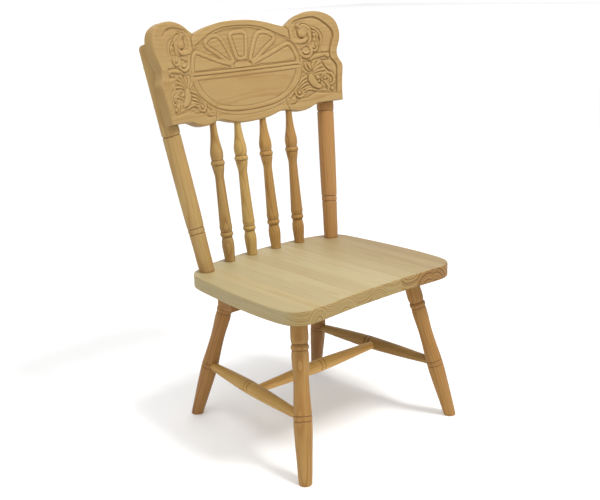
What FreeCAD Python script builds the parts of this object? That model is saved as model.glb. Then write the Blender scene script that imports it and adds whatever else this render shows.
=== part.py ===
import FreeCAD, Part
import math
import os
from FreeCAD import Vector, Rotation, Placement
from BOPTools import SplitAPI

os.makedirs("parts", exist_ok=True)

# ---------------------------------------------------------------------------
# A child's spindle-back side chair in turned pine: stave-glued shaped seat,
# four splayed legs with an H stretcher, two raked back posts, four spindles
# and a wide curved crest board with a scrolled outline.
# Millimetres, +Z up, sitter faces -Y, +X is the right of a viewer in front
# of the chair. The origin is on the floor under the middle of the chair.
# ---------------------------------------------------------------------------

# ---- driving dimensions ----------------------------------------------------
SHIFT_Y = -17.6          # puts the origin at the middle of the outer box

SEAT_H = 300.0           # top of the seat above the floor
SEAT_T = 24.0            # seat thickness
STAVE_W = 35.8           # width of one seat stave
STAVES = 11
SEAT_TOP_R = 2.5         # eased edges of the seat
SEAT_BOT_R = 1.2

BATTEN_L = 382.0
BATTEN_W = 38.0
BATTEN_T = 15.0
BATTEN_Y = 16.8          # middle of the batten, before the shift

FOOT_F = (181.4, -168.0)   # front leg axis on the floor
FOOT_R = (155.1, 181.2)    # rear leg axis on the floor
TOP_F = (132.8, -109.4)    # front leg axis at the underside of the seat
TOP_R = (108.9, 102.6)     # rear leg axis at the underside of the seat
LEG_SOCKET = 15.0          # how far a leg goes up into the seat
RAIL_AT = 109.7            # stretcher height, measured along a leg
GROOVE_AT = 0.53           # grooves of the side stretchers, fraction from front to rear leg
MEDIAL_AT = 0.482          # medial joint, just in front of the grooves

RAKE = 8.36              # lean of the posts, degrees
BACK_Y = 119.79          # post axis at the seat top, before the shift
# x of each post at the seat top, and its outward lean per mm of height
POSTS = {"back_post_left": (-151.4, -0.1230), "back_post_right": (152.9, 0.1105)}
POST_S = 409.0           # top of the posts, along the back
POST_SOCKET = 15.0
NOTCH_V = -5.3           # shoulder on the post, from S = 270 up the board

# foot x, foot y, x and height where each spindle meets the crest board
SPINDLES = [(-84.8, 139.5, -88.0, 258.0), (-29.5, 143.05, -29.6, 253.2),
            (29.3, 143.05, 29.2, 253.2), (85.8, 139.5, 88.4, 258.0)]
SPINDLE_SOCKET = 14.0
SPINDLE_TENON = 12.0

CREST_R = 518.0          # bend radius of the front of the crest board
CREST_T = 19.0           # thickness of the crest board
CREST_LEAN = 3.49        # extra lean of the board over that of the posts
CREST_O = 1.83           # its front at the middle, S = 270, from the post axis

SCREW_D = 4.0
SCREW_HEAD = 8.0


# ---- turned profiles: runs of (distance, diameter) --------------------------
# Each run is one fair curve, runs meet at a crisp edge.
LEG = [
    [(-30.0, 21.6), (0.0, 22.0), (12, 23.6), (25, 25.0), (37, 26.1), (50, 27.4),
     (62, 28.6), (75, 29.8), (87, 30.8), (98, 31.3), (103.3, 31.3)],
    [(103.3, 31.3), (105.0, 29.6), (106.7, 31.4)],
    [(106.7, 31.4), (109.7, 31.5), (112.3, 31.4)],
    [(112.3, 31.4), (114.0, 29.6), (115.7, 31.2)],
    [(115.7, 31.2), (125, 29.9), (137, 28.5), (149, 27.2), (162, 26.3), (174, 26.0),
     (186, 26.8), (199, 28.2), (207, 28.9), (213, 29.0), (218, 28.4), (220.8, 27.5)],
    [(220.8, 27.5), (221.8, 26.9), (222.8, 28.0)],
    [(222.8, 28.0), (224.4, 30.0), (226.6, 30.7), (229.0, 30.0), (231.0, 27.8)],
    [(231.0, 27.8), (232.4, 26.6), (234.0, 27.3)],
    [(234.0, 27.3), (236.5, 28.9), (241, 30.0), (248, 30.0), (260, 29.5), (273, 29.0), (286, 28.5)],
    [(286, 28.5), (288.0, 28.5)],
]
POST = [
    [(0.0, 26.8), (6, 27.0), (14, 28.0), (28, 28.3), (42, 28.4), (56, 28.8), (70.2, 29.6)],
    [(70.2, 29.6), (72.0, 27.9), (73.8, 29.9)],
    [(73.8, 29.9), (77, 30.1), (80.2, 30.2)],
    [(80.2, 30.2), (82.0, 28.4), (83.8, 30.4)],
    [(83.8, 30.4), (94, 31.0), (120, 31.7), (150, 32.1), (185, 32.3), (215, 32.3), (246.6, 32.3)],
    [(246.6, 32.3), (248.7, 29.9), (250.6, 32.6)],
    [(250.6, 32.6), (256, 33.2), (263, 33.0)],
    [(263, 33.0), (300, 32.7), (350, 32.6), (397, 32.4)],
    [(397, 32.4), (402.4, 30.6), (406.2, 25.0), (407.6, 15.0), (408, 0.0)],
]
SPINDLE = [
    [(0, 19.0), (6, 19.5), (12, 20.4), (21, 21.9), (27, 22.8), (33, 22.9), (38, 22.1), (43, 20.2), (45.8, 19.4), (47.6, 19.9)],
    [(47.6, 19.9), (49.2, 23.2), (51.5, 24.3), (53.8, 23.6), (55.6, 21.8)],
    [(55.6, 21.8), (57.4, 21.4), (62, 23.1), (71, 22.5), (80, 21.8), (90, 20.9), (100, 20.0), (110, 19.3),
     (120, 18.7), (130, 18.0), (140, 17.4), (150, 16.8), (157, 16.5), (162, 17.0), (167, 18.7), (173, 21.0), (178, 22.4), (180.4, 22.6)],
    [(180.4, 22.6), (182.0, 24.8), (184.4, 25.6), (186.8, 24.9), (188.6, 22.6)],
    [(188.6, 22.6), (190.4, 21.4), (192.2, 21.9), (196, 23.2), (201, 23.8), (207, 23.0), (213, 21.0), (220, 18.4),
     (226, 16.5), (232, 15.0), (238, 13.8), (244, 12.9), (250, 12.4)],
    [(250, 12.4), (300, 12.4)],
]


def turned(runs):
    """Solid of revolution about Z from runs of (z, diameter)."""
    edges = []
    first = runs[0][0]
    last = runs[-1][-1]
    if first[1] > 1e-6:
        edges.append(Part.LineSegment(Vector(0, 0, first[0]), Vector(first[1] / 2.0, 0, first[0])).toShape())
    for run in runs:
        pts = [Vector(d / 2.0, 0, z) for z, d in run]
        if len(pts) == 2:
            edges.append(Part.LineSegment(pts[0], pts[1]).toShape())
        else:
            c = Part.BSplineCurve()
            c.interpolate(pts)
            edges.append(c.toShape())
    if last[1] > 1e-6:
        edges.append(Part.LineSegment(Vector(last[1] / 2.0, 0, last[0]), Vector(0, 0, last[0])).toShape())
    edges.append(Part.LineSegment(Vector(0, 0, last[0]), Vector(0, 0, first[0])).toShape())
    wire = Part.Wire(Part.__sortEdges__(edges))
    return Part.Face(wire).revolve(Vector(0, 0, 0), Vector(0, 0, 1), 360)


def along(solid, a, b):
    """Moves a solid made about Z so that it starts at a and points to b."""
    s = solid.copy()
    s.Placement = Placement(a, Rotation(Vector(0, 0, 1), b - a))
    return s


def lathe_between(runs, a, b, extra0=0.0, extra1=0.0, length=None):
    """Turned piece on the line a-b, cut to run from -extra0 to length+extra1."""
    n = (b - a).Length if length is None else length
    solid = turned(runs)
    z0 = min(r[0][0] for r in runs)
    z1 = max(r[-1][0] for r in runs)
    keep = Part.makeCylinder(60, n + extra0 + extra1, Vector(0, 0, -extra0))
    if z0 < -extra0 - 1e-6 or z1 > n + extra1 + 1e-6:
        solid = solid.common(keep)
        if solid.ShapeType != "Solid":
            solid = solid.Solids[0]
    return along(solid, a, b)


def world(x, y, z):
    return Vector(x, y + SHIFT_Y, z)


CR = math.cos(math.radians(RAKE))
SR = math.sin(math.radians(RAKE))


def back(x, s, o):
    """Back frame to world: x across, s up the posts, o to the rear."""
    return world(x, BACK_Y + s * SR + o * CR, SEAT_H + s * CR - o * SR)


# ---- seat -------------------------------------------------------------------
half = [(-148, -172.2), (-125, -171.2), (-100, -169.5), (-60, -167.0), (0, -166.0)]
front = [(x, y) for x, y in half] + [(-x, y) for x, y in reversed(half[:-1])]
seat_left = [(-192.8, -136.0), (-195.4, -112.0), (-196.6, -80.0), (-196.4, -50.0), (-195.4, -25.0),
             (-194.2, 0.0), (-192.4, 25.0), (-190.4, 48.0), (-188.3, 72.0), (-186.0, 93.0), (-183.6, 108.0)]
rear_half = [(-152.0, 144.2), (-136.0, 150.0), (-113.0, 156.3), (-85.0, 159.8), (-50.0, 162.6), (0.0, 164.0)]


def corner(p0, d0, p1, d1, k=0.40):
    """Points of a round corner from p0 (leaving along d0) to p1 (arriving along d1)."""
    n = math.hypot(p1[0] - p0[0], p1[1] - p0[1]) * k
    l0, l1 = math.hypot(*d0), math.hypot(*d1)
    q0 = (p0[0] + d0[0] / l0 * n, p0[1] + d0[1] / l0 * n)
    q1 = (p1[0] - d1[0] / l1 * n, p1[1] - d1[1] / l1 * n)
    out = []
    for t in (0.17, 0.34, 0.5, 0.66, 0.83):
        w = ((1 - t) ** 3, 3 * t * (1 - t) ** 2, 3 * t * t * (1 - t), t ** 3)
        out.append(tuple(w[0] * p0[i] + w[1] * q0[i] + w[2] * q1[i] + w[3] * p1[i] for i in (0, 1)))
    return out


mirror_left = [(-x, y) for x, y in seat_left]
rear = rear_half + [(-x, y) for x, y in reversed(rear_half[:-1])]
outline = (front + corner(front[-1], (23, -0.6), mirror_left[0], (2.6, 22)) + mirror_left
           + corner(mirror_left[-1], (-3.0, 15), rear[-1], (-16, 5.6)) + list(reversed(rear))
           + corner(rear[0], (-16, -5.6), seat_left[-1], (-3.0, -15)) + list(reversed(seat_left))
           + corner(seat_left[0], (2.6, -22), front[0], (23, 0.6)))
seat_curve = Part.BSplineCurve()
seat_curve.interpolate(Points=[world(x, y, SEAT_H - SEAT_T) for x, y in outline], PeriodicFlag=True)
seat_wire = Part.Wire([seat_curve.toShape()])
seat = Part.Face(seat_wire).extrude(Vector(0, 0, SEAT_T))
top_edges = [e for e in seat.Edges if abs(e.BoundBox.ZMin - SEAT_H) < 1e-4 and abs(e.BoundBox.ZMax - SEAT_H) < 1e-4]
seat = seat.makeFillet(SEAT_TOP_R, top_edges)
bot_edges = [e for e in seat.Edges if abs(e.BoundBox.ZMin - (SEAT_H - SEAT_T)) < 1e-4 and abs(e.BoundBox.ZMax - (SEAT_H - SEAT_T)) < 1e-4]
seat = seat.makeFillet(SEAT_BOT_R, bot_edges)

# ---- legs -------------------------------------------------------------------
ZU = SEAT_H - SEAT_T
legs = {}
leg_axis = {}
for name, sx, foot, top, fat in (("leg_front_left", -1, FOOT_F, TOP_F, 1.01), ("leg_front_right", 1, FOOT_F, TOP_F, 0.96),
                                 ("leg_rear_left", -1, FOOT_R, TOP_R, 0.98), ("leg_rear_right", 1, FOOT_R, TOP_R, 0.98)):
    a = world(sx * foot[0], foot[1], 0)
    b = world(sx * top[0], top[1], ZU)
    n = (b - a).Length
    k = n / 286.1
    runs = [[(z * k, d * fat) for z, d in run] for run in LEG]
    runs[-1] = [(286.0 * k, 28.5 * fat), (n + LEG_SOCKET, 28.5 * fat)]
    runs[-2][-1] = runs[-1][0]
    solid = along(turned(runs), a, b)
    floor = Part.makeBox(120, 120, 60, Vector(a.x - 60, a.y - 60, -60))
    solid = solid.cut(floor)
    solid = solid.Solids[0]
    sole = [e for e in solid.Edges if abs(e.BoundBox.ZMin) < 1e-4 and abs(e.BoundBox.ZMax) < 1e-4]
    solid = solid.makeFillet(1.0, sole)
    legs[name] = solid.Solids[0] if solid.Solids else solid
    leg_axis[name] = (a, b)


def on_leg(name, s):
    a, b = leg_axis[name]
    return a + (b - a) * (s / (b - a).Length)


# ---- stretchers -------------------------------------------------------------
def stretcher_runs(n, mid, d_end, d_mid, g, power):
    """Double taper with two grooves at the middle, in distance from one end."""
    def d_at(z):
        t = (z - mid) / (mid if z < mid else n - mid)
        return d_mid - (d_mid - d_end) * (abs(t) ** power)
    runs = []

    def span(z0, z1, k):
        runs.append([(z0 + (z1 - z0) * i / k, d_at(z0 + (z1 - z0) * i / k)) for i in range(k + 1)])
    w = 1.5
    span(0.0, mid - g - w, 10)
    runs.append([(mid - g - w, d_at(mid - g - w)), (mid - g, d_at(mid - g) - 3.0), (mid - g + w, d_at(mid - g + w))])
    span(mid - g + w, mid + g - w, 3)
    runs.append([(mid + g - w, d_at(mid + g - w)), (mid + g, d_at(mid + g) - 3.0), (mid + g + w, d_at(mid + g + w))])
    span(mid + g + w, n, 10)
    return runs


stretchers = {}
mids = {}
for name, fl, rl in (("stretcher_left", "leg_front_left", "leg_rear_left"),
                     ("stretcher_right", "leg_front_right", "leg_rear_right")):
    a, b = on_leg(fl, RAIL_AT), on_leg(rl, RAIL_AT)
    n = (b - a).Length
    # the ends stop on the leg axes
    runs = stretcher_runs(n, n * GROOVE_AT, 13.4, 25.0, 4.6, 1.55)
    stretchers[name] = along(turned(runs), a, b)
    mids[name] = a + (b - a) * MEDIAL_AT
a, b = mids["stretcher_left"], mids["stretcher_right"]
n = (b - a).Length
u = (b - a) * (1.0 / n)
a2, b2 = a + u * 2.0, b - u * 2.0
n2 = (b2 - a2).Length
medial_runs = stretcher_runs(n2, n2 * 0.517, 13.6, 24.2, 4.6, 1.3)
stretchers["stretcher_medial"] = along(turned(medial_runs), a2, b2)

# ---- crest board ------------------------------------------------------------
# Outline in (arc distance from the middle, height S along the posts).
crest_top = [(0, 438.5), (30, 437.3), (50, 434.3), (70, 429.6), (90, 423.2), (105, 419.0)]
crest_scroll = [(105, 419.0), (114, 424.6), (125, 432.4), (137, 438.0), (150, 441.3), (163, 442.2), (176, 441.2),
                (188, 438.0), (200, 432.4), (209, 425.0), (214.6, 415.6), (217.2, 404.5), (217.4, 392.0), (213.6, 379.0),
                (208.6, 368.0), (206.0, 356.5), (208.6, 345.5)]
crest_flare = [(208.6, 345.5), (213.0, 336.5), (211.6, 322.0), (207.6, 304.0), (204.6, 286.0), (202.6, 267.4)]
crest_foot = [(202.6, 267.4), (176.0, 267.6), (150.0, 267.4)]
crest_lobe = [(150.0, 267.4), (142, 264.6), (132, 260.4), (122, 257.8), (112, 257.0), (100, 258.6), (88, 261.6), (76, 263.3),
              (64, 262.0), (52, 258.6), (38, 255.4), (20, 253.2), (0, 252.5)]
TL = math.radians(CREST_LEAN)


def board_point(th, v, t):
    """Point of the bent board: bend angle th, v up the board, t behind the front."""
    r = CREST_R + t
    depth = r * math.cos(th) - CREST_R
    s_b = 270.0 + v * math.cos(TL) - depth * math.sin(TL)
    o_b = CREST_O + v * math.sin(TL) + depth * math.cos(TL)
    return back(r * math.sin(th), s_b, o_b)


def crest_point(s, S, t):
    """Point of the board at arc distance s, its front at height S, t behind it."""
    th = s / CREST_R
    bow = CREST_R * math.cos(th) - CREST_R
    return board_point(th, (S - 270.0 + bow * math.sin(TL)) / math.cos(TL), t)


def crest_slab(t, th, v):
    """Bent slab between depths t, angles +-th and heights v."""
    w = Part.Wire([Part.Arc(board_point(-th, v[0], t[0]), board_point(0, v[0], t[0]), board_point(th, v[0], t[0])).toShape(),
                   Part.LineSegment(board_point(th, v[0], t[0]), board_point(th, v[0], t[1])).toShape(),
                   Part.Arc(board_point(th, v[0], t[1]), board_point(0, v[0], t[1]), board_point(-th, v[0], t[1])).toShape(),
                   Part.LineSegment(board_point(-th, v[0], t[1]), board_point(-th, v[0], t[0])).toShape()])
    up = board_point(0, v[1], 0) - board_point(0, v[0], 0)
    return Part.Face(w).extrude(up)


def crest_rim(t):
    """Closed outline lifted on the bent surface at depth t, as edges."""
    edges = []
    chains = [crest_top, crest_scroll, crest_flare, crest_foot, crest_lobe]
    for sign in (1, -1):
        for ch in chains:
            pts = [crest_point(sign * s, S, t) for s, S in ch]
            c = Part.BSplineCurve()
            c.interpolate(pts)
            edges.append(c.toShape())
    return edges


slab = crest_slab((0.0, CREST_T), 0.44, (-30.0, 190.0))
inner, outer = crest_rim(-4.0), crest_rim(CREST_T + 4.0)
rim = Part.Shell([Part.makeRuledSurface(i, o) for i, o in zip(inner, outer)])
rim.sewShape()
pieces = SplitAPI.slice(slab, [rim], "Split").Solids
probe = crest_point(0, 340, CREST_T / 2.0)
crest = [s for s in pieces if s.isInside(probe, 1e-3, True)][0]

# ---- back posts -------------------------------------------------------------
posts = {}
post_axis = {}
notch = crest_slab((-40.0, CREST_T), 0.48, (NOTCH_V, 200.0))
for name, (px, dx) in POSTS.items():
    fs = math.sqrt(1 + dx ** 2) * POST_S / 408.0
    a = back(px, 0, 0)
    b = back(px + dx * POST_S, POST_S, 0)
    runs = [[(z * fs, d) for z, d in run] for run in POST]
    runs.insert(0, [(-POST_SOCKET, 26.8), (0.0, 26.8)])
    solid = along(turned(runs), a, b).cut(notch)
    solid = max(solid.Solids, key=lambda q: q.Volume)
    posts[name] = solid
    post_axis[name] = (a, b)

# ---- spindles ---------------------------------------------------------------
spindles = {}
for i, (x0, y0, x1, s1) in enumerate(SPINDLES):
    a = world(x0, y0, SEAT_H)
    b = crest_point(x1, s1 - 0.5, CREST_T / 2.0 + 0.6)
    n = (b - a).Length
    runs = [list(r) for r in SPINDLE]
    runs.insert(0, [(-SPINDLE_SOCKET, 19.0), (0.0, 19.0)])
    runs[-1] = [(250, 12.4), (n + 3.0, 12.2)]
    runs.append([(n + 3.0, 12.2), (n + SPINDLE_TENON, 11.0)])
    spindles["spindle_%d" % (i + 1)] = along(turned(runs), a, b)

# ---- batten -----------------------------------------------------------------
by0 = BATTEN_Y - BATTEN_W / 2.0
batten = Part.makeBox(BATTEN_L, BATTEN_W, BATTEN_T, world(-BATTEN_L / 2.0, by0, ZU - BATTEN_T))
low = [e for e in batten.Edges if abs(e.BoundBox.ZMax - (ZU - BATTEN_T)) < 1e-6]
batten = batten.makeFillet(1.2, low)


# ---- screws -----------------------------------------------------------------
def screw(length, head_at, direction):
    """Countersunk wood screw; head_at is the middle of the head's flat face."""
    r, h = SCREW_D / 2.0, SCREW_HEAD / 2.0
    pts = [Vector(0, 0, 0), Vector(h, 0, 0), Vector(h, 0, 0.5), Vector(r * 0.95, 0, 3.1),
           Vector(r * 0.95, 0, 8.0), Vector(r, 0, 8.6), Vector(r, 0, length - 5.0), Vector(0.25, 0, length), Vector(0, 0, length)]
    body = Part.Face(Part.makePolygon(pts + [pts[0]])).revolve(Vector(0, 0, 0), Vector(0, 0, 1), 360)
    arm = 4.6
    recess = Part.makeBox(arm, 1.0, 1.6, Vector(-arm / 2.0, -0.5, 0)).fuse(Part.makeBox(1.0, arm, 1.6, Vector(-0.5, -arm / 2.0, 0)))
    body = body.cut(recess).Solids[0]
    plug = Part.Face(Part.makePolygon(pts + [pts[0]])).revolve(Vector(0, 0, 0), Vector(0, 0, 1), 360)
    return along(body, head_at, head_at + direction), along(plug, head_at, head_at + direction)


crest_screws, crest_plugs = [], []
for name, (px, dx) in POSTS.items():
    for S in (305.0, 372.0):
        x = px + dx * S
        th = math.asin(x / (CREST_R + CREST_T))
        target = crest_point(CREST_R * th, S, CREST_T)
        nrm = crest_point(CREST_R * th, S, CREST_T + 1.0) - target
        nrm.normalize()
        ray = Part.makeLine(target + nrm * 2.0, target + nrm * 60.0)
        hit = max((v.Point for v in ray.common(posts[name]).Vertexes), key=lambda q: (q - target).Length)
        head = hit - nrm * 0.9
        body, plug = screw(38.0, head, nrm * -1.0)
        relief = along(Part.makeCylinder(SCREW_HEAD / 2.0, 6.0), head, hit + nrm)
        crest_screws.append(body)
        crest_plugs.append(plug)
        posts[name] = posts[name].cut(plug).cut(relief)
        posts[name] = max(posts[name].Solids, key=lambda q: q.Volume)
for q in crest_plugs:
    crest = crest.cut(q)
crest = max(crest.Solids, key=lambda q: q.Volume)

batten_screws, batten_plugs = [], []
for x in (-179.0, -107.4, -35.8, 35.8, 107.4, 179.0):
    head = world(x, BATTEN_Y, ZU - BATTEN_T + 0.6)
    body, plug = screw(28.0, head, Vector(0, 0, 1))
    relief = Part.makeCylinder(SCREW_HEAD / 2.0, 2.0, head - Vector(0, 0, 2.0))
    batten = batten.cut(plug).cut(relief)
    batten_screws.append(body)
    batten_plugs.append(plug)
batten = max(batten.Solids, key=lambda q: q.Volume)

# ---- sockets ----------------------------------------------------------------
for q in spindles.values():
    crest = crest.cut(q)
crest = max(crest.Solids, key=lambda q: q.Volume)
for name in list(legs):
    for sname in ("stretcher_left", "stretcher_right"):
        if name.endswith("left") == sname.endswith("left"):
            legs[name] = legs[name].cut(stretchers[sname])
    legs[name] = max(legs[name].Solids, key=lambda q: q.Volume)
for sname in ("stretcher_left", "stretcher_right"):
    q = stretchers[sname].cut(stretchers["stretcher_medial"])
    stretchers[sname] = max(q.Solids, key=lambda s: s.Volume)

staves = {}
x0 = -STAVES * STAVE_W / 2.0
into_seat = list(legs.values()) + list(posts.values()) + list(spindles.values()) + batten_plugs
for i in range(STAVES):
    box = Part.makeBox(STAVE_W, 500, 60, Vector(x0 + i * STAVE_W, -250, ZU - 10))
    stave = seat.common(box)
    for q in into_seat:
        if stave.BoundBox.intersect(q.BoundBox):
            stave = stave.cut(q)
    staves["seat_stave_%02d" % (i + 1)] = max(stave.Solids, key=lambda q: q.Volume)

# ---- write ------------------------------------------------------------------
nodes = {}
nodes.update(staves)
nodes["seat_batten"] = batten
nodes["batten_screws"] = Part.makeCompound(batten_screws)
nodes.update(legs)
nodes.update(stretchers)
nodes.update(posts)
nodes.update(spindles)
nodes["crest_rail"] = crest
nodes["crest_screws"] = Part.makeCompound(crest_screws)

total = None
for name, shape in nodes.items():
    shape.exportStep("parts/%s.step" % name)
    bb = shape.optimalBoundingBox(False)
    total = FreeCAD.BoundBox(bb) if total is None else total.united(bb)
    print("%-18s solids %d valid %s vol %.0f mm3 faces %d" % (name, len(shape.Solids), shape.isValid(), shape.Volume, len(shape.Faces)))
print("box x %.2f %.2f y %.2f %.2f z %.2f %.2f, %d nodes" % (total.XMin, total.XMax, total.YMin, total.YMax, total.ZMin, total.ZMax, len(nodes)))
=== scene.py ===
import bpy
import math
import numpy as np
from mathutils import Vector, Matrix, geometry


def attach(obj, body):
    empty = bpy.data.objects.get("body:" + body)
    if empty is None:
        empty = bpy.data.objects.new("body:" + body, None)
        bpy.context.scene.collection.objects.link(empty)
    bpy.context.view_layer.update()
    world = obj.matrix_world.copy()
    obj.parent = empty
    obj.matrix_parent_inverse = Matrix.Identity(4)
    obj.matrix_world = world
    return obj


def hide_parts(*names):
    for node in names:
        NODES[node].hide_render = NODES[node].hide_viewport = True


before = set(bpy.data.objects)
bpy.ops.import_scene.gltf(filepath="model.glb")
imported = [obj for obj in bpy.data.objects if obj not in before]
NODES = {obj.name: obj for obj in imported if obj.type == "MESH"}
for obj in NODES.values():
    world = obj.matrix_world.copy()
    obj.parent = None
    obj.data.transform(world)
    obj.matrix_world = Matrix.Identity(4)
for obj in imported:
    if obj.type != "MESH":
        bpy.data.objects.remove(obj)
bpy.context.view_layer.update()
MM = 0.001

# ---------------------------------------------------------------------------
# The same construction numbers as the solid model, in millimetres.
# ---------------------------------------------------------------------------
SHIFT_Y = -17.6
SEAT_H = 300.0
SEAT_T = 24.0
RAKE = math.radians(8.36)
BACK_Y = 119.79
CREST_R = 518.0
CREST_T = 19.0
CREST_LEAN = math.radians(3.49)
CREST_O = 1.83


def crest_xyz(s, S, t):
    """Bent crest board: arc distance s, height S, depth t behind the front. mm in, metres out."""
    s, S, t = np.broadcast_arrays(np.asarray(s, float), np.asarray(S, float), np.asarray(t, float))
    th = s / CREST_R
    bow = CREST_R * np.cos(th) - CREST_R
    v = (S - 270.0 + bow * math.sin(CREST_LEAN)) / math.cos(CREST_LEAN)
    r = CREST_R + t
    depth = r * np.cos(th) - CREST_R
    sb = 270.0 + v * math.cos(CREST_LEAN) - depth * math.sin(CREST_LEAN)
    ob = CREST_O + v * math.sin(CREST_LEAN) + depth * math.cos(CREST_LEAN)
    x = r * np.sin(th)
    y = BACK_Y + sb * math.sin(RAKE) + ob * math.cos(RAKE) + SHIFT_Y
    z = SEAT_H + sb * math.cos(RAKE) - ob * math.sin(RAKE)
    return np.stack([x, y, z], -1) * MM


# ---------------------------------------------------------------------------
# Shader building
# ---------------------------------------------------------------------------
def shade(v, k):
    """One sRGB channel 0-255 to linear, toned down by k."""
    v = v / 255.0
    return k * (v / 12.92 if v <= 0.04045 else ((v + 0.055) / 1.055) ** 2.4)


def lin(c):
    """sRGB 0-255 to linear."""
    out = []
    for v in c:
        v = v / 255.0
        out.append(v / 12.92 if v <= 0.04045 else ((v + 0.055) / 1.055) ** 2.4)
    return out + [1.0]


class Tree:
    def __init__(self, name):
        self.mat = bpy.data.materials.new(name)
        self.mat.use_nodes = True
        self.t = self.mat.node_tree
        self.t.nodes.clear()
        self.out = self.t.nodes.new("ShaderNodeOutputMaterial")
        self.bsdf = self.t.nodes.new("ShaderNodeBsdfPrincipled")
        self.t.links.new(self.bsdf.outputs[0], self.out.inputs[0])

    def put(self, sock, val):
        if isinstance(val, bpy.types.NodeSocket):
            self.t.links.new(val, sock)
        else:
            sock.default_value = val

    def math(self, op, a, b=None, c=None, clamp=False):
        n = self.t.nodes.new("ShaderNodeMath")
        n.operation = op
        n.use_clamp = clamp
        self.put(n.inputs[0], a)
        if b is not None:
            self.put(n.inputs[1], b)
        if c is not None:
            self.put(n.inputs[2], c)
        return n.outputs[0]

    def vec(self, op, a, b=None):
        n = self.t.nodes.new("ShaderNodeVectorMath")
        n.operation = op
        self.put(n.inputs[0], a)
        if b is not None:
            if op == "SCALE":
                self.put(n.inputs["Scale"], b)
            else:
                self.put(n.inputs[1], b)
        return n.outputs["Value"] if op in ("LENGTH", "DISTANCE", "DOT_PRODUCT") else n.outputs[0]

    def noise(self, v, detail=2.0, rough=0.5, color=False, scale=1.0, dist=0.0):
        n = self.t.nodes.new("ShaderNodeTexNoise")
        n.noise_dimensions = "3D"
        self.put(n.inputs["Vector"], v)
        n.inputs["Scale"].default_value = scale
        n.inputs["Detail"].default_value = detail
        n.inputs["Roughness"].default_value = rough
        n.inputs["Distortion"].default_value = dist
        return n.outputs["Color"] if color else n.outputs[0]

    def ramp(self, fac, stops, interp="LINEAR"):
        n = self.t.nodes.new("ShaderNodeValToRGB")
        n.color_ramp.interpolation = interp
        els = n.color_ramp.elements
        while len(els) > 1:
            els.remove(els[-1])
        els[0].position = stops[0][0]
        els[0].color = stops[0][1]
        for p, c in stops[1:]:
            e = els.new(p)
            e.color = c
        self.put(n.inputs[0], fac)
        return n.outputs[0]

    def mix(self, fac, a, b, mode="MIX"):
        n = self.t.nodes.new("ShaderNodeMix")
        n.data_type = "RGBA"
        n.blend_type = mode
        n.clamp_factor = True
        self.put(n.inputs[0], fac)
        self.put(n.inputs[6], a)
        self.put(n.inputs[7], b)
        return n.outputs[2]

    def bump(self, height, strength=1.0, distance=0.001):
        n = self.t.nodes.new("ShaderNodeBump")
        n.inputs["Strength"].default_value = strength
        n.inputs["Distance"].default_value = distance
        self.put(n.inputs["Height"], height)
        return n.outputs[0]


def g(v):
    return (v, v, v, 1.0)


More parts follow.
